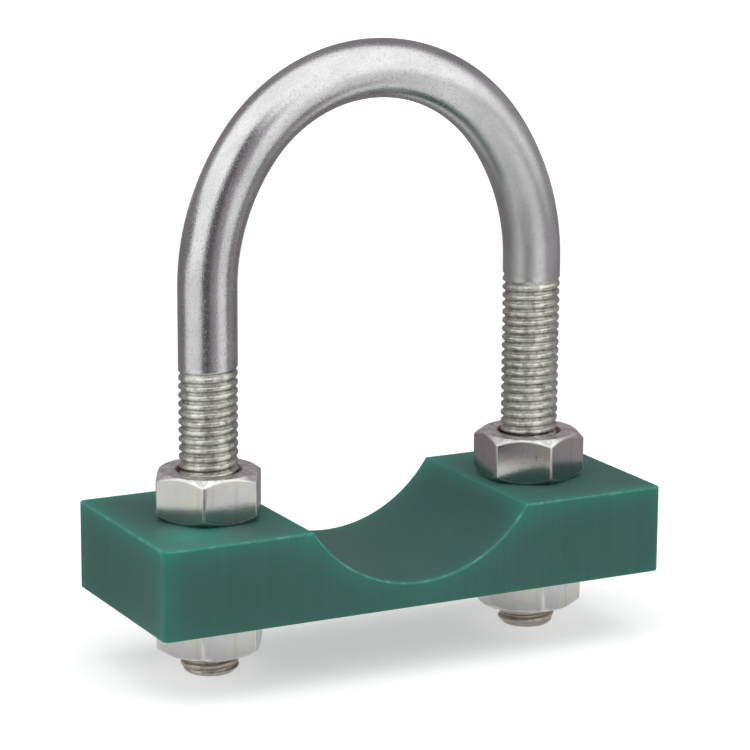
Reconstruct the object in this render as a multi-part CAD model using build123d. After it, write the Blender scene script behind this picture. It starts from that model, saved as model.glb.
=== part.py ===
from build123d import *
import math
import os

# Pipe clamp: a U-bolt that holds a pipe down in a plastic saddle, with a nut above and below the
# saddle on each leg. Millimetres. The origin is the middle of the saddle's underside, X runs from
# leg to leg, Y along the pipe and Z up towards the arch.

# Pipe and saddle
pipe_diameter = 48.0
pipe_side_gap = 2.0
seat_depth = 11.0
seat_web = 4.3
block_width = 36.5
block_end_margin = 16.25
block_corner_radius = 1.5
block_edge_chamfer = 0.6

# U-bolt
rod_diameter = 10.0
leg_rise = 38.7
arch_stretch = 4.0
crown_tightening = 2.0
leg_stickout = 3.9
tip_chamfer = 0.9

# Hex nuts
nut_across_flats = 17.0
nut_height = 8.0
nut_face_diameter = 16.4
nut_chamfer_angle = 35.0
nut_countersink_depth = 0.6

# How far each nut has been turned about its leg, in degrees
upper_left_turn = 1.0
upper_right_turn = 24.5
lower_left_turn = -1.0
lower_right_turn = 18.0

# Fits between the pieces
thread_clearance = 0.05
hole_clearance = 0.25

# What follows from the sizes above
rod_radius = rod_diameter / 2
seat_radius = pipe_diameter / 2
leg_spacing = pipe_diameter + 2 * pipe_side_gap + rod_diameter
leg_x = leg_spacing / 2
block_length = leg_spacing + 2 * block_end_margin
block_thickness = seat_web + seat_depth
seat_axis_z = seat_web + seat_radius
spring_z = block_thickness + leg_rise
leg_foot_z = -(nut_height + leg_stickout)
crown_radius = leg_x - crown_tightening
arch_rise = leg_x + arch_stretch


def block_blank():
    """The sawn block, its upright corners rounded."""
    blank = Box(block_length, block_width, block_thickness, align=(Align.CENTER, Align.CENTER, Align.MIN))
    return fillet(blank.edges().filter_by(Axis.Z), block_corner_radius)


def pipe_seat():
    """The round cutter that leaves the pipe's seat across the top of the block."""
    cutter = Cylinder(seat_radius, block_width + 2 * seat_radius, rotation=(90, 0, 0))
    return Pos(0, 0, seat_axis_z) * cutter


def leg_hole(x):
    """One plain through hole for a leg."""
    hole = Cylinder(rod_radius + hole_clearance, block_thickness, align=(Align.CENTER, Align.CENTER, Align.MIN))
    return Pos(x, 0, 0) * hole


def saddle_block():
    """Block with its pipe seat, chamfered edges and two leg holes."""
    block = block_blank() - pipe_seat()
    block = chamfer(block.edges().filter_by(Axis.Z, reverse=True), block_edge_chamfer)
    for x in (-leg_x, leg_x):
        block -= leg_hole(x)
    return block


def arch_path():
    """Centre line of the bar: two straight legs, two shoulder arcs and a tighter crown arc.

    The shoulder arcs start upright at the legs and meet the crown without a corner, which fixes
    their radius and the angle at which they hand over to it.
    """
    shoulder_radius = leg_x + arch_stretch + arch_stretch ** 2 / (2 * crown_tightening)
    crown_z = spring_z + arch_rise - crown_radius
    handover = math.degrees(math.atan2(crown_z - spring_z, shoulder_radius - leg_x))
    shoulder_x = shoulder_radius - leg_x
    left_leg = Line((-leg_x, leg_foot_z), (-leg_x, spring_z))
    left_shoulder = CenterArc((shoulder_x, spring_z), shoulder_radius, 180, -handover)
    crown = CenterArc((0, crown_z), crown_radius, 180 - handover, 2 * handover - 180)
    right_shoulder = CenterArc((-shoulder_x, spring_z), shoulder_radius, handover, -handover)
    right_leg = Line((leg_x, spring_z), (leg_x, leg_foot_z))
    pieces = [left_leg, left_shoulder, crown, right_shoulder, right_leg]
    return Plane.XZ * Wire([piece.edge() for piece in pieces])


def u_bolt():
    """Round bar swept along the arch, with chamfered tips."""
    path = arch_path()
    section = Plane(origin=path @ 0, z_dir=path % 0) * Circle(rod_radius)
    bar = sweep(section, path=path)
    tips = bar.faces().filter_by(Axis.Z).sort_by(Axis.Z)[:2]
    return chamfer(tips.edges(), tip_chamfer)


def nut_blank():
    """Hexagonal prism, one corner pointing along X."""
    return extrude(RegularPolygon(nut_across_flats / 2, 6, major_radius=False), nut_height)


def nut_envelope():
    """Turned form that chamfers the hexagon's corners at both ends of the nut."""
    face_radius = nut_face_diameter / 2
    mid_height = nut_height / 2
    reach = face_radius + mid_height / math.tan(math.radians(nut_chamfer_angle))
    outline = Polyline(
        (0, 0), (face_radius, 0), (reach, mid_height), (face_radius, nut_height), (0, nut_height), close=True
    )
    return revolve(Plane.XZ * make_face(outline), Axis.Z)


def nut_bore():
    """Threaded bore as its outer cylinder, countersunk at both ends."""
    radius = rod_radius + thread_clearance
    mouth = radius + nut_countersink_depth
    depth = nut_countersink_depth
    outline = Polyline(
        (0, 0), (mouth, 0), (radius, depth), (radius, nut_height - depth), (mouth, nut_height),
        (0, nut_height), close=True,
    )
    return revolve(Plane.XZ * make_face(outline), Axis.Z)


def hex_nut(x, z, turn):
    """One nut seated at height z on the leg at x."""
    nut = (nut_blank() & nut_envelope()) - nut_bore()
    return Pos(x, 0, z) * Rot(0, 0, turn) * nut


nodes = {
    "u_bolt": u_bolt(),
    "saddle_block": saddle_block(),
    "upper_nut_left": hex_nut(-leg_x, block_thickness, upper_left_turn),
    "upper_nut_right": hex_nut(leg_x, block_thickness, upper_right_turn),
    "lower_nut_left": hex_nut(-leg_x, -nut_height, lower_left_turn),
    "lower_nut_right": hex_nut(leg_x, -nut_height, lower_right_turn),
}

os.makedirs("parts", exist_ok=True)
for name, solid in nodes.items():
    export_step(solid, f"parts/{name}.step")
    print(name, round(solid.volume, 1), "mm3")
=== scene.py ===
import math

import bmesh
import bpy
from bpy.props import FloatProperty, FloatVectorProperty, IntProperty, PointerProperty
from bpy.types import Operator, Panel, PropertyGroup
from mathutils import Matrix, Vector, noise


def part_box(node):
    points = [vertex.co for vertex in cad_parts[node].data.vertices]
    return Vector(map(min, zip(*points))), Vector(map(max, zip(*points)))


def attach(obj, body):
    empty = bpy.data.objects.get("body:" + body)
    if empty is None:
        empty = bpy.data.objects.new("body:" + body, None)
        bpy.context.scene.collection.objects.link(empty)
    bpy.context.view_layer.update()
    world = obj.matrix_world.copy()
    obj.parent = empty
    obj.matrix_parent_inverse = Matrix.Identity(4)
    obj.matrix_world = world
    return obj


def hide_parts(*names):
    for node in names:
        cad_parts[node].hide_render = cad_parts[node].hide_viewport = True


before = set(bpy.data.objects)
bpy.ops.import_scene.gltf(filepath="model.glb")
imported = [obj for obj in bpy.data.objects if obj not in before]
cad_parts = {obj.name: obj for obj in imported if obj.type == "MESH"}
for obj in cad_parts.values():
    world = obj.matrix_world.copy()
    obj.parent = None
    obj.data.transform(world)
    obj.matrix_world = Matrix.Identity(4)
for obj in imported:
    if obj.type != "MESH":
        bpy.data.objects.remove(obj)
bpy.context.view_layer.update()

# A U-bolt pipe clamp: zinc plated bar and nuts on a green plastic saddle. Metres, in the frame of
# the solids: the origin is the middle of the saddle's underside, X runs from leg to leg, Y along
# the pipe and Z up towards the arch.

bl_info = {
    "name": "U-bolt pipe clamp",
    "version": (1, 0, 0),
    "blender": (4, 5, 0),
    "location": "3D View > Sidebar > Clamp",
    "description": "Makes a U-bolt pipe clamp with threaded legs, hex nuts and a plastic saddle",
    "category": "Add Mesh",
}

MM = 0.001
BODY = "root"


def box_of(node, digits=4):
    """Lowest and highest corner of a solid in metres, rounded to a number of digits."""
    return [Vector([round(value, digits) for value in corner]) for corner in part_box(node)]


# Places and sizes taken from the solids
BOLT_LOW, BOLT_HIGH = box_of("u_bolt")
SADDLE_LOW, SADDLE_HIGH = box_of("saddle_block", 5)
BAR_RADIUS = (BOLT_HIGH.y - BOLT_LOW.y) / 2
LEG_X = BOLT_HIGH.x - BAR_RADIUS
FOOT_Z = BOLT_LOW.z
CROWN_TOP_Z = BOLT_HIGH.z - BAR_RADIUS
NUT_NODES = ["upper_nut_left", "upper_nut_right", "lower_nut_left", "lower_nut_right"]


class ClampBarSettings(PropertyGroup):
    """Sizes and colours of the bent bar with its threaded legs."""

    arch_stretch: FloatProperty(
        name="Arch stretch", description="How much taller the arch is than a half circle",
        default=4.0 * MM, unit="LENGTH",
    )
    crown_tightening: FloatProperty(
        name="Crown tightening", description="How much smaller the crown's radius is than half the leg spacing",
        default=2.0 * MM, unit="LENGTH",
    )
    tip_chamfer: FloatProperty(
        name="Tip chamfer", description="Chamfer round the foot of each leg", default=0.9 * MM, unit="LENGTH",
    )
    pitch: FloatProperty(
        name="Thread pitch", description="Rise of the thread in one turn", default=1.5 * MM, unit="LENGTH",
    )
    thread_depth: FloatProperty(
        name="Thread depth", description="From crest to root", default=0.50 * MM, unit="LENGTH",
    )
    left_thread_top: FloatProperty(
        name="Left thread top", description="Height at which the left leg's thread ends",
        default=41.2 * MM, unit="LENGTH",
    )
    right_thread_top: FloatProperty(
        name="Right thread top", description="Height at which the right leg's thread ends",
        default=51.7 * MM, unit="LENGTH",
    )
    run_out: FloatProperty(
        name="Run-out", description="Height over which the thread fades into the plain bar",
        default=2.2 * MM, unit="LENGTH",
    )
    sides: IntProperty(name="Sides", description="Facets round the bar", default=64, min=16, max=128)
    steps_per_turn: IntProperty(
        name="Steps per turn", description="Mesh rows in one pitch of the thread", default=12, min=8, max=16,
    )
    plating: FloatVectorProperty(
        name="Plating", description="Zinc plate on the plain bar", subtype="COLOR", default=(0.525, 0.525, 0.53),
    )
    thread_plating: FloatVectorProperty(
        name="Thread plating", description="Zinc plate on the thread's crests", subtype="COLOR",
        default=(0.57, 0.585, 0.53),
    )
    thread_dirt: FloatVectorProperty(
        name="Thread dirt", description="Dull film in the thread's roots", subtype="COLOR",
        default=(0.25, 0.215, 0.215),
    )
    foot_film: FloatVectorProperty(
        name="Foot film", description="Brownish film on the thread below the saddle", subtype="COLOR",
        default=(0.36, 0.31, 0.265),
    )
    cut_end: FloatVectorProperty(
        name="Cut end", description="Thinly plated metal at the sawn feet", subtype="COLOR",
        default=(0.30, 0.26, 0.235),
    )


class ClampNutSettings(PropertyGroup):
    """Sizes and colours of the four hex nuts."""

    across_flats: FloatProperty(
        name="Across flats", description="Width over two opposite flats", default=17.0 * MM, unit="LENGTH",
    )
    face_diameter: FloatProperty(
        name="Face diameter", description="Flat round face inside the chamfer", default=16.4 * MM, unit="LENGTH",
    )
    chamfer_angle: FloatProperty(
        name="Chamfer angle", description="Slope of the chamfer that rounds off the corners",
        default=math.radians(35.0), unit="ROTATION", subtype="ANGLE",
    )
    bore: FloatProperty(
        name="Bore", description="Radius of the bore", default=5.05 * MM, unit="LENGTH",
    )
    countersink: FloatProperty(
        name="Countersink", description="Width and depth of the bore's lead-in", default=0.6 * MM, unit="LENGTH",
    )
    corner_rounding: FloatProperty(
        name="Corner rounding", description="Radius along the upright corners", default=0.3 * MM, unit="LENGTH",
    )
    arc_rounding: FloatProperty(
        name="Arc rounding", description="Radius along the arcs where the chamfer meets the flats",
        default=0.20 * MM, unit="LENGTH",
    )
    upper_left_turn: FloatProperty(
        name="Upper left turn", description="Turn of this nut about its leg",
        default=math.radians(1.0), unit="ROTATION", subtype="ANGLE",
    )
    upper_right_turn: FloatProperty(
        name="Upper right turn", description="Turn of this nut about its leg",
        default=math.radians(24.5), unit="ROTATION", subtype="ANGLE",
    )
    lower_left_turn: FloatProperty(
        name="Lower left turn", description="Turn of this nut about its leg",
        default=math.radians(-1.0), unit="ROTATION", subtype="ANGLE",
    )
    lower_right_turn: FloatProperty(
        name="Lower right turn", description="Turn of this nut about its leg",
        default=math.radians(18.0), unit="ROTATION", subtype="ANGLE",
    )
    plating: FloatVectorProperty(
        name="Plating", description="Bright zinc plate", subtype="COLOR", default=(0.455, 0.457, 0.455),
    )
    tarnish: FloatVectorProperty(
        name="Tarnish", description="Darker plate in scratches and hollows", subtype="COLOR",
        default=(0.30, 0.28, 0.285),
    )
    worn_edge: FloatVectorProperty(
        name="Worn edge", description="Rubbed plate along the edges", subtype="COLOR", default=(0.62, 0.62, 0.61),
    )
    turned_plating: FloatVectorProperty(
        name="Turned plating", description="Lighter plate on the turned faces and chamfers", subtype="COLOR",
        default=(0.82, 0.80, 0.79),
    )
    yellowing: FloatVectorProperty(
        name="Yellowing", description="Faint yellowish patches of the passivated plate", subtype="COLOR",
        default=(0.47, 0.46, 0.39),
    )
    bore_film: FloatVectorProperty(
        name="Bore film", description="Brown film round the mouth of the bore", subtype="COLOR",
        default=(0.16, 0.085, 0.07),
    )


class ClampSaddleSettings(PropertyGroup):
    """Edges and colours of the plastic saddle, with its painted glow and painted reflection."""

    edge_rounding: FloatProperty(
        name="Edge rounding", description="Small radius along each edge", default=0.30 * MM, unit="LENGTH",
    )
    corner_rounding: FloatProperty(
        name="Corner rounding", description="Radius of the four upright corners", default=1.1 * MM, unit="LENGTH",
    )
    hole_radius: FloatProperty(
        name="Hole radius", description="Radius of the two holes for the legs", default=5.25 * MM, unit="LENGTH",
    )
    seat_radius: FloatProperty(
        name="Seat radius", description="Radius of the pipe's seat", default=24.0 * MM, unit="LENGTH",
    )
    seat_web: FloatProperty(
        name="Seat web", description="Thickness left under the seat", default=4.3 * MM, unit="LENGTH",
    )
    plastic: FloatVectorProperty(
        name="Plastic", description="Body colour of the plastic", subtype="COLOR", default=(0.048, 0.127, 0.109),
    )
    # Painted light: the colour of the painted edge glow and of the painted reflection on top.
    painted_light_tint: FloatVectorProperty(
        name="Edge glow", description="Lighter plastic where light passes through an edge", subtype="COLOR",
        default=(0.036, 0.270, 0.195),
    )
    # Painted reflection: the middle of a lighter patch painted on top in front of a nut, where its bright faces throw
    # light.
    painted_reflection_x: FloatProperty(
        name="Sheen, along X", description="Middle of the lighter patch on top, beside a nut",
        default=-39.0 * MM, unit="LENGTH",
    )
    painted_reflection_y: FloatProperty(
        name="Sheen, along Y", description="Middle of the lighter patch on top, beside a nut",
        default=-11.5 * MM, unit="LENGTH",
    )
    scuff: FloatVectorProperty(
        name="Scuff", description="Pale rubbed marks", subtype="COLOR", default=(0.15, 0.42, 0.33),
    )


class ClampStageSettings(PropertyGroup):
    """Floor, soft light and camera."""

    floor_colour: FloatVectorProperty(
        name="Floor colour", description="Pale floor", subtype="COLOR", default=(0.86, 0.86, 0.86),
    )
    floor_lift: FloatProperty(
        name="Floor lift", description="How much the floor shines by itself near the clamp, as background", default=0.44,
    )
    floor_radius: FloatProperty(
        name="Floor radius", description="Size of the round floor", default=12.0, unit="LENGTH",
    )
    tent_radius: FloatProperty(
        name="Tent radius", description="Radius of the light tent round the clamp", default=0.60, unit="LENGTH",
    )
    tent_light: FloatProperty(name="Tent light", description="Strength at which the tent lights matte surfaces", default=1.5)
    tent_shine: FloatProperty(name="Tent shine", description="Strength at which the tent shows in metal", default=1.8)
    world_strength: FloatProperty(name="Sky strength", description="Light of the even sky", default=0.42)
    camera_azimuth: FloatProperty(
        name="Camera azimuth", description="Turn of the camera about the clamp; zero looks along the pipe",
        default=math.radians(-27.44), unit="ROTATION", subtype="ANGLE",
    )
    camera_elevation: FloatProperty(
        name="Camera elevation", description="Height of the camera above the horizon",
        default=math.radians(12.82), unit="ROTATION", subtype="ANGLE",
    )
    camera_roll: FloatProperty(
        name="Camera roll", description="Tilt of the picture", default=math.radians(0.30),
        unit="ROTATION", subtype="ANGLE",
    )
    lens: FloatProperty(name="Lens", description="Focal length for a 36 mm wide sensor", default=147.06)
    aim_height: FloatProperty(
        name="Aim height", description="Height of the point on the clamp's middle that the camera is set by",
        default=50.0 * MM, unit="LENGTH",
    )
    aim_distance: FloatProperty(
        name="Aim distance", description="From the camera to that point, along its line of sight",
        default=521.68 * MM, unit="LENGTH",
    )


class Quantity:
    """A number that varies over a surface. Arithmetic on it adds Math nodes to its finish."""

    def __init__(self, finish, socket):
        self.finish = finish
        self.socket = socket

    def maths(self, operation, *others):
        """This quantity joined with others by one Math node."""
        inputs = dict(enumerate([self, *others]))
        return self.finish.number("ShaderNodeMath", {"operation": operation}, inputs)

    def swapped(self, operation, other):
        """A Math node in which the plain number comes first."""
        return self.finish.number("ShaderNodeMath", {"operation": operation}, {0: other, 1: self})

    def __add__(self, other):
        return self.maths("ADD", other)

    def __radd__(self, other):
        return self.swapped("ADD", other)

    def __sub__(self, other):
        return self.maths("SUBTRACT", other)

    def __rsub__(self, other):
        return self.swapped("SUBTRACT", other)

    def __mul__(self, other):
        return self.maths("MULTIPLY", other)

    def __rmul__(self, other):
        return self.swapped("MULTIPLY", other)

    def __truediv__(self, other):
        return self.maths("DIVIDE", other)

    def __rtruediv__(self, other):
        return self.swapped("DIVIDE", other)

    def __pow__(self, other):
        return self.maths("POWER", other)

    def __rpow__(self, other):
        return self.swapped("POWER", other)

    def __abs__(self):
        return self.maths("ABSOLUTE")

    def least(self, other):
        """The smaller of two quantities."""
        return self.maths("MINIMUM", other)

    def most(self, other):
        """The larger of two quantities."""
        return self.maths("MAXIMUM", other)

    def step(self, low, high):
        """A soft step from 0 at low to 1 at high; high may be the smaller one."""
        limits = {"Value": self, "From Min": low, "From Max": high}
        return self.finish.number("ShaderNodeMapRange", {"interpolation_type": "SMOOTHSTEP"}, limits)


class Finish:
    """One material, or the sky, and the nodes that make it."""

    def __init__(self, made, **fixed):
        self.material = bpy.data.materials.new(made) if isinstance(made, str) else made
        self.material.use_nodes = True
        self.tree = self.material.node_tree
        self.shader = next(node for node in self.tree.nodes if node.type in {"BSDF_PRINCIPLED", "BACKGROUND"})
        for socket, value in fixed.items():
            self.shader.inputs[socket.replace("_", " ").title()].default_value = value

    def node(self, kind, settings=None, inputs=None):
        """Any node: its settings are made first, then its sockets get numbers, colours or links."""
        made = self.tree.nodes.new(kind)
        for setting, value in (settings or {}).items():
            setattr(made, setting, value)
        for socket, value in (inputs or {}).items():
            self.feed(made.inputs[socket], value)
        return made

    def feed(self, socket, value):
        """Gives a socket a link from a quantity or another socket, or a plain value."""
        if isinstance(value, Quantity):
            value = value.socket
        if isinstance(value, bpy.types.NodeSocket):
            self.tree.links.new(value, socket)
        else:
            socket.default_value = value

    def number(self, kind, settings=None, inputs=None, output=0):
        """A node's output as a quantity."""
        return Quantity(self, self.node(kind, settings, inputs).outputs[output])

    def place(self, attribute=None):
        """Object coordinates, or the named attribute of the mesh."""
        if attribute:
            return self.node("ShaderNodeAttribute", {"attribute_name": attribute}).outputs["Vector"]
        return self.node("ShaderNodeTexCoord").outputs["Object"]

    def measure(self, attribute):
        """A number stored on the mesh."""
        return Quantity(self, self.node("ShaderNodeAttribute", {"attribute_name": attribute}).outputs["Fac"])

    def parts(self, vector):
        """The three parts of a vector as quantities."""
        split = self.node("ShaderNodeSeparateXYZ", None, {"Vector": vector})
        return [Quantity(self, split.outputs[axis]) for axis in "XYZ"]

    def stretched(self, vector, per_metre):
        """A vector scaled on each axis, so that a pattern has that many features in a metre."""
        return self.node("ShaderNodeVectorMath", {"operation": "MULTIPLY"}, {0: vector, 1: per_metre}).outputs[0]

    def grain(self, vector, per_metre, detail=2.0, roughness=0.5, distortion=0.0):
        """Noise from 0 to 1 with a pattern size of its own on each axis."""
        inputs = {
            "Vector": self.stretched(vector, per_metre), "Scale": 1.0, "Detail": detail,
            "Roughness": roughness, "Distortion": distortion,
        }
        return self.number("ShaderNodeTexNoise", None, inputs)

    def mixed(self, share, first, second):
        """A colour between two colours."""
        made = self.node("ShaderNodeMix", {"data_type": "RGBA"})
        self.feed(made.inputs[0], share)
        for socket, value in ((6, first), (7, second)):
            self.feed(made.inputs[socket], value if isinstance(value, bpy.types.NodeSocket) else (*value, 1.0))
        return made.outputs[2]

    def bumped(self, height, distance, strength=1.0, normal=None):
        """A normal from a height that varies between 0 and 1, distance being the full height."""
        inputs = {"Height": height, "Distance": distance, "Strength": strength}
        if normal:
            inputs["Normal"] = normal
        return self.node("ShaderNodeBump", None, inputs).outputs["Normal"]

    def finished(self, **varying):
        """Feeds the sockets that vary over the surface and gives the material."""
        for socket, value in varying.items():
            self.feed(self.shader.inputs[socket.replace("_", " ").title()], value)
        return self.material


def new_piece(name, mesh_builder, materials, nodes):
    """Turns a bmesh into a piece that rides on the clamp and stands for the given solids."""
    mesh = bpy.data.meshes.new(name)
    mesh_builder.to_mesh(mesh)
    mesh_builder.free()
    piece = bpy.data.objects.new(name, mesh)
    bpy.context.scene.collection.objects.link(piece)
    for material in materials:
        mesh.materials.append(material)
    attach(piece, BODY)
    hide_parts(*nodes)
    return piece


class ArchLine:
    """Centre line of the bar: two legs, two shoulder arcs and a tighter crown arc.

    A place on the straight bar is given by its distance from the centre line away from the arch's
    inside, its distance from it towards the front, and its distance along the bar from the left foot.
    """

    def __init__(self, settings):
        stretch = settings.arch_stretch
        tightening = settings.crown_tightening
        self.spring_z = CROWN_TOP_Z - LEG_X - stretch
        self.crown_radius = LEG_X - tightening
        self.crown_z = CROWN_TOP_Z - self.crown_radius
        self.shoulder_radius = LEG_X + stretch + stretch ** 2 / (2 * tightening)
        self.shoulder_x = self.shoulder_radius - LEG_X
        self.handover = math.atan2(self.crown_z - self.spring_z, self.shoulder_x)
        self.leg_length = self.spring_z - FOOT_Z
        self.shoulder_end = self.leg_length + self.shoulder_radius * self.handover
        self.middle = self.shoulder_end + self.crown_radius * (math.pi / 2 - self.handover)
        self.length = 2 * self.middle

    def bent(self, place):
        """Where a place on the straight bar lies on the bent one."""
        outward, front, along = place
        side = -1 if along < self.middle else 1
        along = min(along, self.length - along)
        if along <= self.leg_length:
            return Vector((side * (LEG_X + outward), -front, FOOT_Z + along))
        if along <= self.shoulder_end:
            turn = (along - self.leg_length) / self.shoulder_radius
            reach = self.shoulder_radius + outward
            return Vector((
                side * (reach * math.cos(turn) - self.shoulder_x), -front, self.spring_z + reach * math.sin(turn),
            ))
        turn = self.handover + (along - self.shoulder_end) / self.crown_radius
        reach = self.crown_radius + outward
        return Vector((side * reach * math.cos(turn), -front, self.crown_z + reach * math.sin(turn)))


THREAD_CREST = 0.14
THREAD_ROOT = 0.41
BAR_WAVE = 0.03 * MM
CREST_WEAR = 0.14 * MM
ARCH_STEP = 1.1 * MM
END_RINGS = (0.6 * MM, 2.2 * MM)


def stations(line, settings):
    """Distances along the bar at which the mesh has a row: close together on the threads."""
    fine = settings.pitch / settings.steps_per_turn
    left_end = settings.left_thread_top + settings.pitch - FOOT_Z
    right_end = line.length - (settings.right_thread_top + settings.pitch - FOOT_Z)
    rows = [0.0]
    for end, step in ((left_end, fine), (right_end, ARCH_STEP), (line.length, fine)):
        start = rows[-1]
        count = round((end - start) / step)
        rows += [start + (end - start) * row / count for row in range(1, count + 1)]
    return rows


def thread_share(angle, along, from_foot, thread_length, settings, side):
    """Share of the thread's depth at a place on a leg: 0 on a crest and 1 in a root."""
    turn = along / settings.pitch - angle / math.tau
    from_crest = abs(turn - round(turn))
    share = min(max((from_crest - THREAD_CREST) / (THREAD_ROOT - THREAD_CREST), 0.0), 1.0)
    rounded = share * share * (3.0 - 2.0 * share)
    profile = 0.6 * share + 0.4 * rounded
    end = thread_length - side * settings.pitch * angle / math.tau
    return profile * min(max((end - from_foot) / settings.run_out, 0.0), 1.0)


def rolled_bar(line, settings):
    """The bar as a sheet rolled into a tube, threaded at both ends and then bent."""
    bar = bmesh.new()
    rows = stations(line, settings)
    last_row = len(rows) - 1
    bmesh.ops.create_grid(bar, x_segments=settings.sides, y_segments=last_row, size=0.5)
    groove = bar.verts.layers.float.new("groove")
    threaded = bar.verts.layers.float.new("threaded")
    unbent = bar.verts.layers.float_vector.new("unbent")
    for vert in bar.verts:
        column = round((vert.co.x + 0.5) * settings.sides) % settings.sides
        along = rows[round((vert.co.y + 0.5) * last_row)]
        angle = math.tau * column / settings.sides - math.pi
        left = along < line.middle
        from_foot = along if left else line.length - along
        top = settings.left_thread_top if left else settings.right_thread_top
        thread_length = top - FOOT_Z
        share = 0.0
        if from_foot < thread_length + settings.pitch:
            side = -1 if left else 1
            share = thread_share(angle, along, from_foot, thread_length, settings, side)
        outward, front = math.cos(angle), math.sin(angle)
        ripple = noise.noise(Vector((outward, front, along / (11.0 * MM)))) * BAR_WAVE
        worn = noise.noise(Vector((outward * 5.0, front * 5.0, along / (0.9 * MM)))) * CREST_WEAR
        vert[threaded] = min(max((thread_length - from_foot) / settings.pitch, 0.0), 1.0)
        wear = (1.0 - share) * min(worn, 0.0) * vert[threaded]
        radius = BAR_RADIUS - share * settings.thread_depth + wear + min(ripple, 0.0)
        radius = min(radius, BAR_RADIUS - settings.tip_chamfer + from_foot)
        vert[groove] = share
        vert[unbent] = Vector((outward * radius, front * radius, along))
        vert.co = line.bent(vert[unbent])
    bmesh.ops.remove_doubles(bar, verts=bar.verts, dist=0.001 * MM)
    return bar


def closed_feet(bar):
    """Closes both feet, slightly hollow, and sets their faces to the second finish."""
    open_edges = [edge for edge in bar.edges if edge.is_boundary]
    caps = bmesh.ops.holes_fill(bar, edges=open_edges, sides=0)["faces"]
    bmesh.ops.recalc_face_normals(bar, faces=bar.faces)
    for face in caps:
        face.material_index = 1
        inner = [face]
        for thickness in END_RINGS:
            bmesh.ops.inset_region(bar, faces=inner, thickness=thickness, use_even_offset=True)
        made = bmesh.ops.poke(bar, faces=inner)
        bmesh.ops.translate(bar, verts=made["verts"], vec=(0.0, 0.0, 0.05 * MM))
    return caps


def bar_finish(settings):
    """Zinc plate on a drawn and bent bar: fine pits, drawing lines and dirt in the thread."""
    zinc = Finish("zinc_plated_bar", metallic=1.0)
    unbent = zinc.place("unbent")
    groove = zinc.measure("groove")
    threaded = zinc.measure("threaded")
    outward, _, along = zinc.parts(unbent)
    clouds = zinc.grain(unbent, (260.0, 260.0, 120.0), detail=3.0, roughness=0.6)
    blotches = zinc.grain(unbent, (700.0, 700.0, 600.0), detail=3.0, roughness=0.65)
    dents = zinc.grain(unbent, (420.0, 420.0, 260.0), detail=2.0, roughness=0.55)
    lines = zinc.grain(unbent, (2600.0, 2600.0, 130.0), detail=2.0, roughness=0.6)
    fine = zinc.grain(unbent, (3400.0, 3400.0, 2600.0), detail=3.0, roughness=0.7)
    wrinkles = zinc.grain(unbent, (420.0, 420.0, 5200.0), detail=2.0, roughness=0.7, distortion=0.8)
    knots = zinc.grain(unbent, (1400.0, 1400.0, 1300.0), detail=3.0, roughness=0.7)
    pits = zinc.grain(unbent, (2300.0, 2300.0, 1900.0), detail=3.0, roughness=0.7).step(0.54, 0.68)
    plain = 1.0 - threaded
    across, _, height_above_nuts = zinc.parts(zinc.place())
    feet = height_above_nuts.step(4.0 * MM, -6.0 * MM)
    dulled = across.step(8.0 * MM, 27.0 * MM)
    stretched_side = outward.step(-2.0 * MM, 3.0 * MM) * plain
    dirt = (groove ** 2.0) * (0.2 + clouds * 0.9) * 0.5 + threaded * (blotches.step(0.45, 0.65) + knots.step(0.48, 0.64)) * 0.45
    bright = zinc.mixed(clouds.step(0.32, 0.70), tuple(0.84 * c for c in settings.plating), settings.plating)
    bright = zinc.mixed(threaded, bright, settings.thread_plating)
    grain = (pits * 0.28 + fine.step(0.42, 0.60) * 0.22) * plain
    speckled = zinc.mixed(grain, bright, tuple(0.6 * c for c in settings.plating))
    soiled = zinc.mixed(dirt.least(1.0), speckled, settings.thread_dirt)
    browned = zinc.mixed(feet * (0.35 + blotches * 0.6), soiled, settings.foot_film)
    rough = 0.15 + clouds * 0.09 + fine * 0.09 + threaded * 0.11 + groove * 0.05 + (pits * 0.10 + dulled * 0.16) * plain
    smooth_height = dents * 0.4 + wrinkles * stretched_side * 0.30 + lines * 0.12 + (blotches + knots) * threaded * 3.0
    height = fine * 0.9 + (1.0 - pits) * 0.3 * plain
    coarse = zinc.bumped(smooth_height, 0.035 * MM)
    normal = zinc.bumped(height, 0.022 * MM, normal=coarse)
    return zinc.finished(base_color=browned, roughness=rough, normal=normal)


def cut_end_finish(settings):
    """Sawn foot of a leg: thin plate over saw lines, with a brownish film."""
    sawn = Finish("sawn_bar_end", metallic=1.0)
    place = sawn.place()
    lines = sawn.grain(place, (500.0, 4200.0, 500.0), detail=2.0)
    film = sawn.grain(place, (420.0, 420.0, 420.0), detail=3.0)
    colour = sawn.mixed(film.step(0.3, 0.7), settings.cut_end, tuple(1.5 * c for c in settings.cut_end))
    rough = 0.42 + lines * 0.2
    return sawn.finished(base_color=colour, roughness=rough, normal=sawn.bumped(lines, 0.03 * MM))


def build_bar(settings):
    """The bent bar with both threads, as one piece."""
    bar = rolled_bar(ArchLine(settings), settings)
    closed_feet(bar)
    bar.normal_update()
    for face in bar.faces:
        face.smooth = True
    for edge in bar.edges:
        edge.smooth = len({face.material_index for face in edge.link_faces}) < 2
    return new_piece("bent_bar", bar, [bar_finish(settings), cut_end_finish(settings)], ["u_bolt"])


NUT_SECTORS = 120
NICK = (27.7 * MM, -8.1 * MM, 20.8 * MM)


def hexagon_radius(angle, settings):
    """Distance from the nut's axis to its flats in a direction, one corner pointing along X."""
    sixth = math.tau / 6
    from_flat = (angle % sixth) - sixth / 2
    return settings.across_flats / 2 / math.cos(from_flat)


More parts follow.
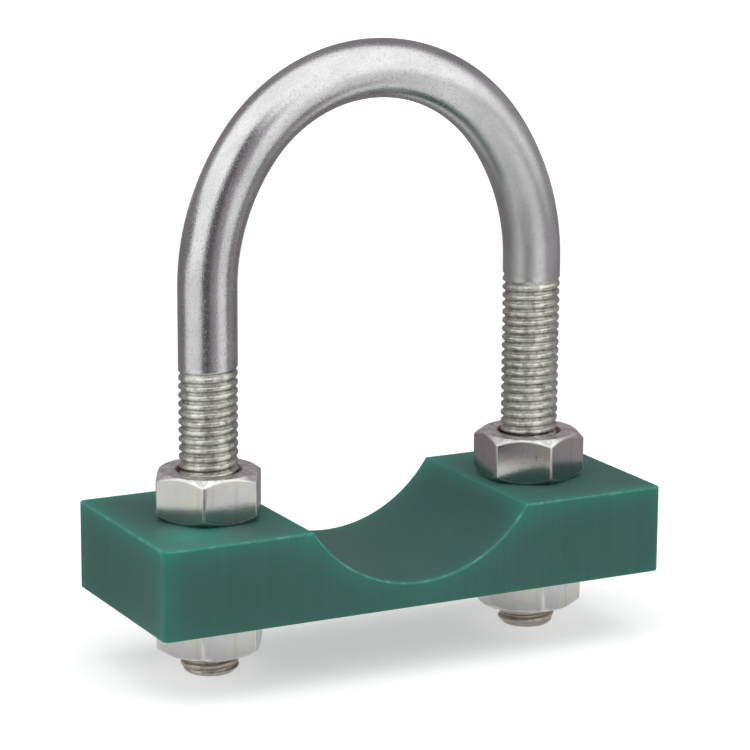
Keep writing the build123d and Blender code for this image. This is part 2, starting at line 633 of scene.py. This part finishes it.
def turned_nut(height, settings):
    """A hex nut about the origin, made by spinning its section and pressing the flats into it."""
    nut = bmesh.new()
    face_radius = settings.face_diameter / 2
    mouth = settings.bore + settings.countersink
    half = settings.across_flats / 2
    lip = 0.12 * MM
    section = [
        (mouth, 0.0), (face_radius - lip, 0.0), (face_radius, 0.0), (half, 0.0), (half, height / 2),
        (half, height), (face_radius, height), (face_radius - lip, height), (mouth, height),
        (settings.bore, height - settings.countersink), (settings.bore, settings.countersink),
    ]
    verts = [nut.verts.new((radius, 0.0, z)) for radius, z in section]
    for index, vert in enumerate(verts):
        nut.edges.new((vert, verts[(index + 1) % len(verts)]))
    bmesh.ops.spin(
        nut, geom=list(nut.verts) + list(nut.edges), cent=(0, 0, 0), axis=(0, 0, 1),
        angle=math.tau, steps=NUT_SECTORS, use_merge=True,
    )
    slope = math.tan(settings.chamfer_angle)
    for vert in nut.verts:
        reach = vert.co.xy.length
        if reach < half - MM * 0.01:
            continue
        angle = math.atan2(vert.co.y, vert.co.x)
        radius = hexagon_radius(angle, settings)
        drop = (radius - face_radius) * slope
        if vert.co.z < height * 0.25:
            vert.co.z = drop
        elif vert.co.z > height * 0.75:
            vert.co.z = height - drop
        vert.co.x *= radius / reach
        vert.co.y *= radius / reach
    bmesh.ops.remove_doubles(nut, verts=nut.verts, dist=0.001 * MM)
    bmesh.ops.recalc_face_normals(nut, faces=nut.faces)
    nut.normal_update()
    return nut


def rounded_corners(nut, settings):
    """Rounds the upright corners and the arcs between flats and chamfers, and marks sharp edges."""
    outer = [
        edge for edge in nut.edges
        if len(edge.link_faces) == 2 and edge.calc_face_angle(0.0) > math.radians(40.0)
        and edge.verts[0].co.xy.length > settings.face_diameter / 2 + 0.1 * MM
    ]
    upright = [edge for edge in outer if abs(edge.verts[0].co.z - edge.verts[1].co.z) > MM]
    eased(nut, upright, settings.corner_rounding, 3)
    arcs = [
        edge for edge in nut.edges
        if len(edge.link_faces) == 2 and min(edge.verts[0].co.xy.length, edge.verts[1].co.xy.length)
        > settings.face_diameter / 2 + 0.1 * MM
        and sorted(abs(face.normal.z) > 0.5 for face in edge.link_faces) == [False, True]
    ]
    eased(nut, arcs, settings.arc_rounding, 3)
    for face in nut.faces:
        face.smooth = True
    for edge in nut.edges:
        edge.smooth = len(edge.link_faces) < 2 or edge.calc_face_angle(0.0) < math.radians(19.0)


def nut_finish(settings):
    """Bright zinc plate over drawing lines on the flats and turning marks on the round faces."""
    zinc = Finish("zinc_plated_nut", metallic=1.0)
    place = zinc.place("in_nut")
    x, y, _ = zinc.parts(place)
    clouds = zinc.grain(place, (300.0, 300.0, 150.0), detail=3.0)
    dents = zinc.grain(place, (520.0, 520.0, 420.0), detail=2.0, roughness=0.6)
    streaks = zinc.grain(place, (3000.0, 3000.0, 110.0), detail=2.0, roughness=0.6)
    broad_streaks = zinc.grain(place, (900.0, 900.0, 70.0), detail=1.0)
    fine = zinc.grain(place, (3600.0, 3600.0, 3600.0), detail=3.0, roughness=0.65)
    reach = (x * x + y * y) ** 0.5
    rings = zinc.number("ShaderNodeTexNoise", {"noise_dimensions": "1D"}, {"W": reach, "Scale": 4200.0})
    specks = zinc.grain(place, (1500.0, 1500.0, 1500.0), detail=2.0, roughness=0.7).step(0.66, 0.72)
    turned = zinc.measure("turned")
    flat = 1.0 - turned
    tarnish = (
        broad_streaks.step(0.50, 0.75) * flat * 0.30 + specks * 0.5 + turned * clouds * 0.22
    ).least(1.0)
    colour = zinc.mixed(clouds.step(0.3, 0.72), tuple(0.88 * c for c in settings.plating), settings.plating)
    patches = zinc.grain(place, (210.0, 210.0, 210.0), detail=3.0).step(0.42, 0.66)
    colour = zinc.mixed(patches * 0.6, colour, settings.yellowing)
    colour = zinc.mixed(tarnish, colour, settings.tarnish)
    worn = zinc.measure("worn")
    colour = zinc.mixed(worn * clouds.step(0.25, 0.6), colour, settings.worn_edge)
    nick_x, nick_y, nick_z = [part - centre for part, centre in zip(zinc.parts(zinc.place()), NICK)]
    slanted = nick_x + nick_z * 0.25
    nick = (((slanted * slanted + nick_y * nick_y) * 20.0 + nick_z * nick_z) ** 0.5).step(1.3 * MM, 0.0)
    colour = zinc.mixed(nick * 0.6, colour, settings.tarnish)
    mottled = 0.25 + zinc.grain(place, (650.0, 650.0, 650.0), detail=3.0, roughness=0.7).step(0.38, 0.60) * 0.75
    colour = zinc.mixed(turned * mottled, colour, settings.turned_plating)
    colour = zinc.mixed(reach.step(5.9 * MM, 5.3 * MM) * clouds.step(0.25, 0.55), colour, settings.bore_film)
    rough = 0.13 + clouds * 0.09 + fine * 0.06 + turned * 0.24 + worn * 0.20
    marks = streaks * flat * 0.6 + fine * 0.5 + rings * turned * 0.5 + (1.0 - specks) * 0.3 - nick * 1.6
    normal = zinc.bumped(marks, 0.014 * MM, normal=zinc.bumped(dents, 0.020 * MM))
    return zinc.finished(base_color=colour, roughness=rough, normal=normal)


def build_nut(node, turn, settings, material):
    """One nut where its solid is, turned about its leg."""
    low, high = box_of(node)
    nut = turned_nut(high.z - low.z, settings)
    rounded_corners(nut, settings)
    in_nut = nut.verts.layers.float_vector.new("in_nut")
    for vert in nut.verts:
        vert[in_nut] = vert.co
    turned = nut.faces.layers.float.new("turned")
    worn = nut.faces.layers.float.new("worn")
    steep = math.cos(settings.chamfer_angle) - 0.03
    for face in nut.faces:
        facing = math.atan2(face.normal.y, face.normal.x) % (math.tau / 6) - math.tau / 12
        on_flat = abs(face.normal.z) < 0.05 and abs(facing) < math.radians(4.0)
        face[turned] = 1.0 if abs(face.normal.z) > steep else 0.0
        face[worn] = 0.0 if on_flat or face[turned] else 1.0
    axis_x = math.copysign(LEG_X, low.x + high.x)
    bmesh.ops.transform(nut, matrix=Matrix.Rotation(turn, 4, "Z"), verts=nut.verts)
    bmesh.ops.translate(nut, vec=(axis_x, 0.0, low.z), verts=nut.verts)
    return new_piece("hex_" + node, nut, [material], [node])


GLOW_DEPTH = 2.2 * MM


def saddle_finish(settings):
    """Dull green plastic with faint saw lines, and painted light: a painted glow along its edges, where light would
    pass through them, and a painted reflection of a nut on its top.
    """
    plastic = Finish("green_saddle_plastic", subsurface_weight=0.25, subsurface_scale=0.003)
    plastic.shader.inputs["Subsurface Radius"].default_value = (0.25, 1.0, 0.8)
    plastic.shader.inputs["Specular IOR Level"].default_value = 0.2
    place = plastic.place()
    x, y, z = plastic.parts(place)
    seat_axis_z = settings.seat_web + settings.seat_radius
    from_seat = ((x * x + (z - seat_axis_z) ** 2.0) ** 0.5 - settings.seat_radius).most(0.0)

    def passing(distance):
        """Share of the painted edge glow that still shows through this much plastic."""
        return (1.0 / math.e) ** (distance / GLOW_DEPTH)

    # Painted light: a glow painted along the edges. It is stronger at the top than at the bottom, and stronger at the
    # left end than at the right, as the light falls.
    glow = (
        passing(SADDLE_HIGH.z - z) + 0.35 * passing(z - SADDLE_LOW.z)
        + passing(SADDLE_HIGH.y - abs(y)) + 0.7 * passing(from_seat)
        + passing(x - SADDLE_LOW.x) + 0.3 * passing(SADDLE_HIGH.x - x) - 1.0
    ).most(0.0)
    clouds = plastic.grain(place, (70.0, 70.0, 70.0), detail=2.0)
    waver = plastic.grain(place, (190.0, 190.0, 190.0), detail=3.0)
    saw = plastic.grain(place, (1500.0, 1500.0, 60.0), detail=2.0, roughness=0.6)
    fine = plastic.grain(place, (2600.0, 2600.0, 2600.0), detail=3.0)
    rubs = plastic.grain(place, (330.0, 330.0, 330.0), detail=4.0, roughness=0.75).step(0.44, 0.66)
    top, side, end = SADDLE_HIGH.z - z, SADDLE_HIGH.y - abs(y), SADDLE_HIGH.x - abs(x)
    from_edge = (top + side).least(top + end).least(from_seat + side)
    body = plastic.mixed(clouds.step(0.3, 0.75) * 0.35, settings.plastic, tuple(1.2 * c for c in settings.plastic))
    # Painted glow mixed into the body colour.
    with_painted_light = plastic.mixed((glow * (0.45 + waver * 0.8)).least(1.2) * 0.8, body, settings.painted_light_tint)
    # Painted reflection: a lighter patch painted on the top in front of a nut. It stands in for the light that the
    # nut's faces throw on the plastic.
    painted_reflection = (((x - settings.painted_reflection_x) ** 2.0 + (y - settings.painted_reflection_y) ** 2.0) ** 0.5).step(10.0 * MM, 1.0 * MM)
    painted_reflection = painted_reflection * z.step(SADDLE_HIGH.z - 0.6 * MM, SADDLE_HIGH.z) * (0.65 + waver * 0.5)
    with_painted_light = plastic.mixed(painted_reflection * 0.9, with_painted_light, settings.painted_light_tint)
    streaked = plastic.mixed(saw.step(0.35, 0.7) * 0.10, with_painted_light, tuple(0.55 * c for c in settings.plastic))
    rubbed = plastic.mixed((0.15 + rubs * 0.6) * from_edge.step(0.50 * MM, 0.15 * MM), streaked, settings.scuff)
    rough = 0.40 + clouds * 0.08 + fine * 0.10
    normal = plastic.bumped(saw * 0.6 + fine * 0.4, 0.03 * MM)
    return plastic.finished(base_color=rubbed, roughness=rough, normal=normal)


def sharp_edges(body, degrees):
    """The edges at which two faces meet at more than an angle."""
    limit = math.radians(degrees)
    return [edge for edge in body.edges if len(edge.link_faces) == 2 and edge.calc_face_angle(0.0) > limit]


def eased(body, edges, radius, segments):
    """Rounds edges over with a radius."""
    bmesh.ops.bevel(
        body, geom=edges, offset=radius, offset_type="OFFSET", affect="EDGES",
        segments=segments, profile=0.5, material=-1, clamp_overlap=True,
    )
    body.normal_update()


def sawn_block(settings):
    """The block's outline with the pipe's seat, extruded along the pipe, its edges rounded over."""
    block = bmesh.new()
    seat_axis_z = settings.seat_web + settings.seat_radius
    half_seat = math.acos((seat_axis_z - SADDLE_HIGH.z) / settings.seat_radius)
    lip_x = settings.seat_radius * math.sin(half_seat)
    near = SADDLE_LOW.y
    outline = [
        block.verts.new((x, near, z)) for x, z in (
            (-lip_x, SADDLE_HIGH.z), (SADDLE_LOW.x, SADDLE_HIGH.z), (SADDLE_LOW.x, SADDLE_LOW.z),
            (SADDLE_HIGH.x, SADDLE_LOW.z), (SADDLE_HIGH.x, SADDLE_HIGH.z), (lip_x, SADDLE_HIGH.z),
        )
    ]
    for first, second in zip(outline, outline[1:]):
        block.edges.new((first, second))
    bmesh.ops.spin(
        block, geom=[outline[0]], cent=(0.0, near, seat_axis_z), axis=(0, -1, 0), angle=2 * half_seat, steps=56,
    )
    bmesh.ops.remove_doubles(block, verts=block.verts, dist=0.002 * MM)
    front = bmesh.ops.contextual_create(block, geom=block.edges)["faces"]
    back = bmesh.ops.extrude_face_region(block, geom=front, use_keep_orig=True)["geom"]
    moved = [item for item in back if isinstance(item, bmesh.types.BMVert)]
    bmesh.ops.translate(block, vec=(0.0, SADDLE_HIGH.y - near, 0.0), verts=moved)
    bmesh.ops.recalc_face_normals(block, faces=block.faces)
    block.normal_update()
    upright = [e for e in sharp_edges(block, 60.0) if abs(e.verts[0].co.z - e.verts[1].co.z) > MM]
    eased(block, upright, settings.corner_rounding, 6)
    eased(block, sharp_edges(block, 25.0), settings.edge_rounding, 4)
    return block


def bored(block, settings):
    """Bores the two leg holes: each flat face is filled again round its circles, then they are joined."""
    rims = {}
    for level in (SADDLE_LOW.z, SADDLE_HIGH.z):
        flats = [f for f in block.faces if abs(f.normal.z) > 0.999 and abs(f.calc_center_median().z - level) < 0.1 * MM]
        outlines = {edge for flat in flats for edge in flat.edges}
        bmesh.ops.delete(block, geom=flats, context="FACES_ONLY")
        for side in (-1, 1):
            middle = Matrix.Translation((side * LEG_X, 0.0, level))
            circle = bmesh.ops.create_circle(block, segments=64, radius=settings.hole_radius, matrix=middle)["verts"]
            rims[side, level] = list({edge for vert in circle for edge in vert.link_edges})
            outlines.update(rims[side, level])
        bmesh.ops.triangle_fill(block, edges=list(outlines), use_beauty=True, use_dissolve=False)
    for side in (-1, 1):
        bmesh.ops.bridge_loops(block, edges=rims[side, SADDLE_LOW.z] + rims[side, SADDLE_HIGH.z])
    bmesh.ops.recalc_face_normals(block, faces=block.faces)
    block.normal_update()
    return block


def build_saddle(settings):
    """The saddle block with its pipe seat and its two holes."""
    block = bored(sawn_block(settings), settings)
    for face in block.faces:
        face.smooth = True
    flat = {
        face for face in block.faces
        if max(abs(part) for part in face.normal) > 0.99999 or face.calc_area() > 12.0 * MM * MM
    }
    for edge in block.edges:
        kinds = {face in flat for face in edge.link_faces}
        edge.smooth = edge.calc_face_angle(0.0) < math.radians(35.0) and len(kinds) == 1
    return new_piece("plastic_saddle", block, [saddle_finish(settings)], ["saddle_block"])


def stage_object(name, builder, material):
    """An object of the stage, which is not part of the clamp."""
    mesh = bpy.data.meshes.new(name)
    builder.to_mesh(mesh)
    builder.free()
    for polygon in mesh.polygons:
        polygon.use_smooth = True
    mesh.materials.append(material)
    thing = bpy.data.objects.new(name, mesh)
    bpy.context.scene.collection.objects.link(thing)
    return thing


def background_ray(finish):
    """1 for rays that show the background: straight from the camera, or by way of metal or plastic."""
    path = finish.node("ShaderNodeLightPath")
    camera = Quantity(finish, path.outputs["Is Camera Ray"])
    glossy = Quantity(finish, path.outputs["Is Glossy Ray"])
    through = Quantity(finish, path.outputs["Is Transmission Ray"])
    return camera.most(glossy).most(through)


def floor_material(settings):
    """Pale matte floor that brightens evenly into the white background away from the clamp."""
    floor = Finish("pale_floor", roughness=0.9)
    floor.shader.inputs["Specular IOR Level"].default_value = 0.0
    x, y, _ = floor.parts(floor.place())
    away = ((x * x + y * y) ** 0.5).step(0.34, 0.70)
    paper = floor.grain(floor.place(), (60.0, 60.0, 60.0), detail=3.0)
    colour = floor.mixed(paper, tuple(0.985 * c for c in settings.floor_colour), settings.floor_colour)
    lift = settings.floor_lift + away * (1.0 - settings.floor_lift)
    glow = floor.node("ShaderNodeEmission", None, {"Color": (1.0, 1.0, 1.0, 1.0)})
    floor.feed(glow.inputs["Strength"], lift * background_ray(floor))
    joined = floor.node("ShaderNodeAddShader", None, {0: glow.outputs[0], 1: floor.shader.outputs[0]})
    output = floor.tree.nodes["Material Output"]
    floor.tree.links.new(joined.outputs[0], output.inputs["Surface"])
    return floor.finished(base_color=colour)


def glowing_material(name, colour, lit, reflected):
    """A cloth or card that lights matte surfaces at one strength and shows in metal at another."""
    glow = Finish(name)
    glossy = Quantity(glow, glow.node("ShaderNodeLightPath").outputs["Is Glossy Ray"])
    strength = glossy * (reflected - lit) + lit
    emission = glow.node("ShaderNodeEmission", None, {"Color": (*colour, 1.0), "Strength": strength})
    glow.tree.links.new(emission.outputs[0], glow.tree.nodes["Material Output"].inputs["Surface"])
    return glow.material


def toward_camera(settings):
    """Level direction from the clamp to the camera, and the level direction to its right."""
    azimuth = settings.camera_azimuth
    return Vector((math.sin(azimuth), -math.cos(azimuth), 0.0)), Vector((math.cos(azimuth), math.sin(azimuth), 0.0))


def unseen(part, lights=False):
    """Hides a lighting part from the camera, and from matte surfaces unless it lights them."""
    part.visible_camera = False
    part.visible_shadow = False
    part.visible_diffuse = lights
    return part


def vault_part(name, material, settings, turns, sides=(-88, 88), lights=False):
    """A part of the vault, between two angles from the camera's horizon over the top and two aside."""
    vault = bmesh.new()
    front, right = toward_camera(settings)
    start = math.radians(turns[0])
    rise = front * math.cos(start) + Vector((0.0, 0.0, math.sin(start)))
    verts = []
    for share in range(17):
        aside = math.radians(sides[0] + (sides[1] - sides[0]) * share / 16)
        verts.append(vault.verts.new((rise * math.cos(aside) + right * math.sin(aside)) * settings.tent_radius))
    for first, second in zip(verts, verts[1:]):
        vault.edges.new((first, second))
    bmesh.ops.spin(
        vault, geom=list(vault.verts) + list(vault.edges), cent=(0, 0, 0), axis=-right,
        angle=math.radians(turns[1] - turns[0]), steps=max(4, round((turns[1] - turns[0]) / 5)),
    )
    bmesh.ops.translate(vault, vec=(0.0, 0.0, settings.aim_height), verts=vault.verts)
    return unseen(stage_object(name, vault, material), lights)


def round_card(name, material, settings, azimuths, radius, height, inner=None):
    """A card that stands round the clamp between two azimuths from the camera, and may lie inwards too."""
    card = bmesh.new()
    start = settings.camera_azimuth + math.radians(azimuths[0])
    aside = Vector((math.sin(start), -math.cos(start), 0.0))
    places = [aside * radius + Vector((0.0, 0.0, FOOT_Z + rise)) for rise in (0.5 * MM, height)]
    if inner:
        places.insert(0, aside * inner + Vector((0.0, 0.0, FOOT_Z + 0.5 * MM)))
    verts = [card.verts.new(place) for place in places]
    for first, second in zip(verts, verts[1:]):
        card.edges.new((first, second))
    bmesh.ops.spin(
        card, geom=list(card.verts) + list(card.edges), cent=(0, 0, 0), axis=(0, 0, 1),
        angle=math.radians(azimuths[1] - azimuths[0]), steps=max(4, round((azimuths[1] - azimuths[0]) / 5)),
    )
    return unseen(stage_object(name, card, material))


def flat_card(name, material, settings, ends, height, top_share):
    """A flat card that stands between two places, each given to the camera's right and towards it.

    It narrows upwards to a share of its length; the edge at its first place stays upright.
    """
    card = bmesh.new()
    front, right = toward_camera(settings)
    feet = [right * aside + front * near + Vector((0.0, 0.0, FOOT_Z)) for aside, near in ends]
    verts = [card.verts.new(foot) for foot in feet]
    edge = card.edges.new(verts)
    raised = bmesh.ops.extrude_edge_only(card, edges=[edge])["geom"]
    tops = [item for item in raised if isinstance(item, bmesh.types.BMVert)]
    bmesh.ops.translate(card, vec=(0.0, 0.0, height), verts=tops)
    upright = feet[0] + Vector((0.0, 0.0, height))
    for vert in tops:
        vert.co = upright + (vert.co - upright) * top_share
    return unseen(stage_object(name, card, material))


def build_floor(settings):
    """A wide round floor under the legs' feet."""
    floor = bmesh.new()
    under = Matrix.Translation((0.0, 0.0, FOOT_Z - 0.02 * MM))
    bmesh.ops.create_circle(floor, cap_ends=True, segments=64, radius=settings.floor_radius, matrix=under)
    bmesh.ops.recalc_face_normals(floor, faces=floor.faces)
    thing = stage_object("pale_floor", floor, floor_material(settings))
    if thing.data.polygons[0].normal.z < 0:
        thing.data.flip_normals()
    return thing


def build_tent(settings):
    """A bright vault in front and above, a dim one behind, and cards that draw dark lines in the metal."""
    mauve = (1.0, 0.90, 0.97)
    cloth = glowing_material("tent_cloth", (1.0, 1.0, 1.0), settings.tent_light, settings.tent_shine)
    low_cloth = glowing_material("low_tent_cloth", (1.0, 1.0, 1.0), 0.3 * settings.tent_light, settings.tent_shine)
    shade = glowing_material("shade_cloth", mauve, 0.0, 0.36)
    dim = glowing_material("dim_card", mauve, 0.0, 0.14)
    rear = glowing_material("rear_card", mauve, 0.0, 0.31)
    grey = glowing_material("grey_card", mauve, 0.0, 0.45)
    dark = glowing_material("dark_card", mauve, 0.0, 0.10)
    front = glowing_material("front_card", mauve, 0.0, 0.48)
    vault_part("low_vault", low_cloth, settings, (1.0, 45.0), sides=(-72, 88), lights=True)
    vault_part("high_vault", cloth, settings, (45.0, 108.0), sides=(-72, 88), lights=True)
    vault_part("left_dim_vault", dim, settings, (1.0, 108.0), sides=(-88, -72))
    vault_part("dim_vault", shade, settings, (108.0, 180.0))
    round_card("rear_card", rear, settings, (125.0, 280.0), 0.101, 0.075, inner=0.056)
    round_card("right_grey_card", grey, settings, (80.0, 125.0), 0.101, 0.075)
    round_card("right_dark_card", dark, settings, (68.0, 80.0), 0.100, 0.09)
    flat_card("front_dim_card", dim, settings, ((-0.003, 0.106), (-0.070, 0.112)), 0.17, 0.6)
    flat_card("front_grey_card", front, settings, ((-0.003, 0.106), (0.056, 0.101)), 0.14, 0.7)


def build_world(settings):
    """Even sky: white to the camera and in reflections, and softer as light on the clamp."""
    world = bpy.data.worlds.new("even_sky")
    world.use_nodes = True
    bpy.context.scene.world = world
    sky = Finish(world)
    strength = background_ray(sky) * (1.0 - settings.world_strength) + settings.world_strength
    sky.feed(sky.shader.inputs["Color"], (1.0, 1.0, 1.0, 1.0))
    sky.feed(sky.shader.inputs["Strength"], strength)
    bpy.context.scene.view_settings.view_transform = "Standard"


PICTURE = 750
SENSOR = 36.0
AIM_PIXEL = Vector((373.65, 296.21))


def build_camera(settings):
    """The camera, set by where the aim point falls in the picture."""
    azimuth, elevation, roll = settings.camera_azimuth, settings.camera_elevation, settings.camera_roll
    level = math.cos(elevation)
    back = Vector((math.sin(azimuth) * level, -math.cos(azimuth) * level, math.sin(elevation)))
    right = Vector((0.0, 0.0, 1.0)).cross(back).normalized()
    up = back.cross(right)
    right, up = (
        right * math.cos(roll) + up * math.sin(roll),
        up * math.cos(roll) - right * math.sin(roll),
    )
    per_pixel = settings.aim_distance * SENSOR / (settings.lens * PICTURE)
    aside = (AIM_PIXEL.x - PICTURE / 2) * per_pixel
    above = (PICTURE / 2 - AIM_PIXEL.y) * per_pixel
    aim = Vector((0.0, 0.0, settings.aim_height))
    camera = bpy.data.cameras.new("photo_camera")
    camera.lens = settings.lens
    camera.sensor_width = SENSOR
    camera.clip_start = 0.01
    camera.clip_end = 50.0
    thing = bpy.data.objects.new("photo_camera", camera)
    turn = Matrix((right, up, back)).transposed()
    thing.matrix_world = turn.to_4x4()
    thing.location = aim - right * aside - up * above + back * settings.aim_distance
    bpy.context.scene.collection.objects.link(thing)
    bpy.context.scene.camera = thing


class CLAMP_OT_make_stage(Operator):
    """Makes the pale floor, the light tent, the sky and the camera"""

    bl_idname = "clamp.make_stage"
    bl_label = "Stage"
    bl_options = {"REGISTER", "UNDO"}

    def execute(self, context):
        settings = context.scene.clamp_stage
        build_camera(settings)
        build_world(settings)
        build_floor(settings)
        build_tent(settings)
        return {"FINISHED"}


class CLAMP_OT_make_bar(Operator):
    """Makes the bent bar with its threaded legs"""

    bl_idname = "clamp.make_bar"
    bl_label = "Bent bar"
    bl_options = {"REGISTER", "UNDO"}

    def execute(self, context):
        build_bar(context.scene.clamp_bar)
        return {"FINISHED"}


class CLAMP_OT_make_nuts(Operator):
    """Makes the four hex nuts, each where its solid is"""

    bl_idname = "clamp.make_nuts"
    bl_label = "Hex nuts"
    bl_options = {"REGISTER", "UNDO"}

    def execute(self, context):
        settings = context.scene.clamp_nuts
        turns = [
            settings.upper_left_turn, settings.upper_right_turn,
            settings.lower_left_turn, settings.lower_right_turn,
        ]
        material = nut_finish(settings)
        for node, turn in zip(NUT_NODES, turns):
            build_nut(node, turn, settings, material)
        return {"FINISHED"}


class CLAMP_OT_make_saddle(Operator):
    """Makes the plastic saddle with its pipe seat"""

    bl_idname = "clamp.make_saddle"
    bl_label = "Plastic saddle"
    bl_options = {"REGISTER", "UNDO"}

    def execute(self, context):
        build_saddle(context.scene.clamp_saddle)
        return {"FINISHED"}


class CLAMP_PT_pieces(Panel):
    """Lists the clamp's pieces and their sizes in the sidebar"""

    bl_idname = "CLAMP_PT_pieces"
    bl_label = "U-bolt pipe clamp"
    bl_space_type = "VIEW_3D"
    bl_region_type = "UI"
    bl_category = "Clamp"

    def draw(self, context):
        for group, operator in SETTINGS_AND_OPERATORS:
            column = self.layout.column(align=True)
            column.operator(operator)
            settings = getattr(context.scene, group)
            for name in settings.bl_rna.properties.keys():
                if name not in {"rna_type", "name"}:
                    column.prop(settings, name)


SETTINGS_AND_OPERATORS = [
    ("clamp_stage", "clamp.make_stage"),
    ("clamp_bar", "clamp.make_bar"),
    ("clamp_nuts", "clamp.make_nuts"),
    ("clamp_saddle", "clamp.make_saddle"),
]
SETTINGS_GROUPS = {
    "clamp_stage": ClampStageSettings,
    "clamp_bar": ClampBarSettings,
    "clamp_nuts": ClampNutSettings,
    "clamp_saddle": ClampSaddleSettings,
}
OPERATORS_AND_PANEL = (
    CLAMP_OT_make_stage, CLAMP_OT_make_bar, CLAMP_OT_make_nuts, CLAMP_OT_make_saddle, CLAMP_PT_pieces,
)


def register():
    """Makes the settings, operators and panel known to Blender."""
    for group, settings in SETTINGS_GROUPS.items():
        bpy.utils.register_class(settings)
        setattr(bpy.types.Scene, group, PointerProperty(type=settings))
    for made in OPERATORS_AND_PANEL:
        bpy.utils.register_class(made)


def unregister():
    """Takes them away again."""
    for made in reversed(OPERATORS_AND_PANEL):
        bpy.utils.unregister_class(made)
    for group, settings in SETTINGS_GROUPS.items():
        delattr(bpy.types.Scene, group)
        bpy.utils.unregister_class(settings)


def main():
    """Makes the stage and every piece."""
    register()
    bpy.ops.clamp.make_stage()
    bpy.ops.clamp.make_bar()
    bpy.ops.clamp.make_nuts()
    bpy.ops.clamp.make_saddle()


if __name__ == "__main__":
    main()
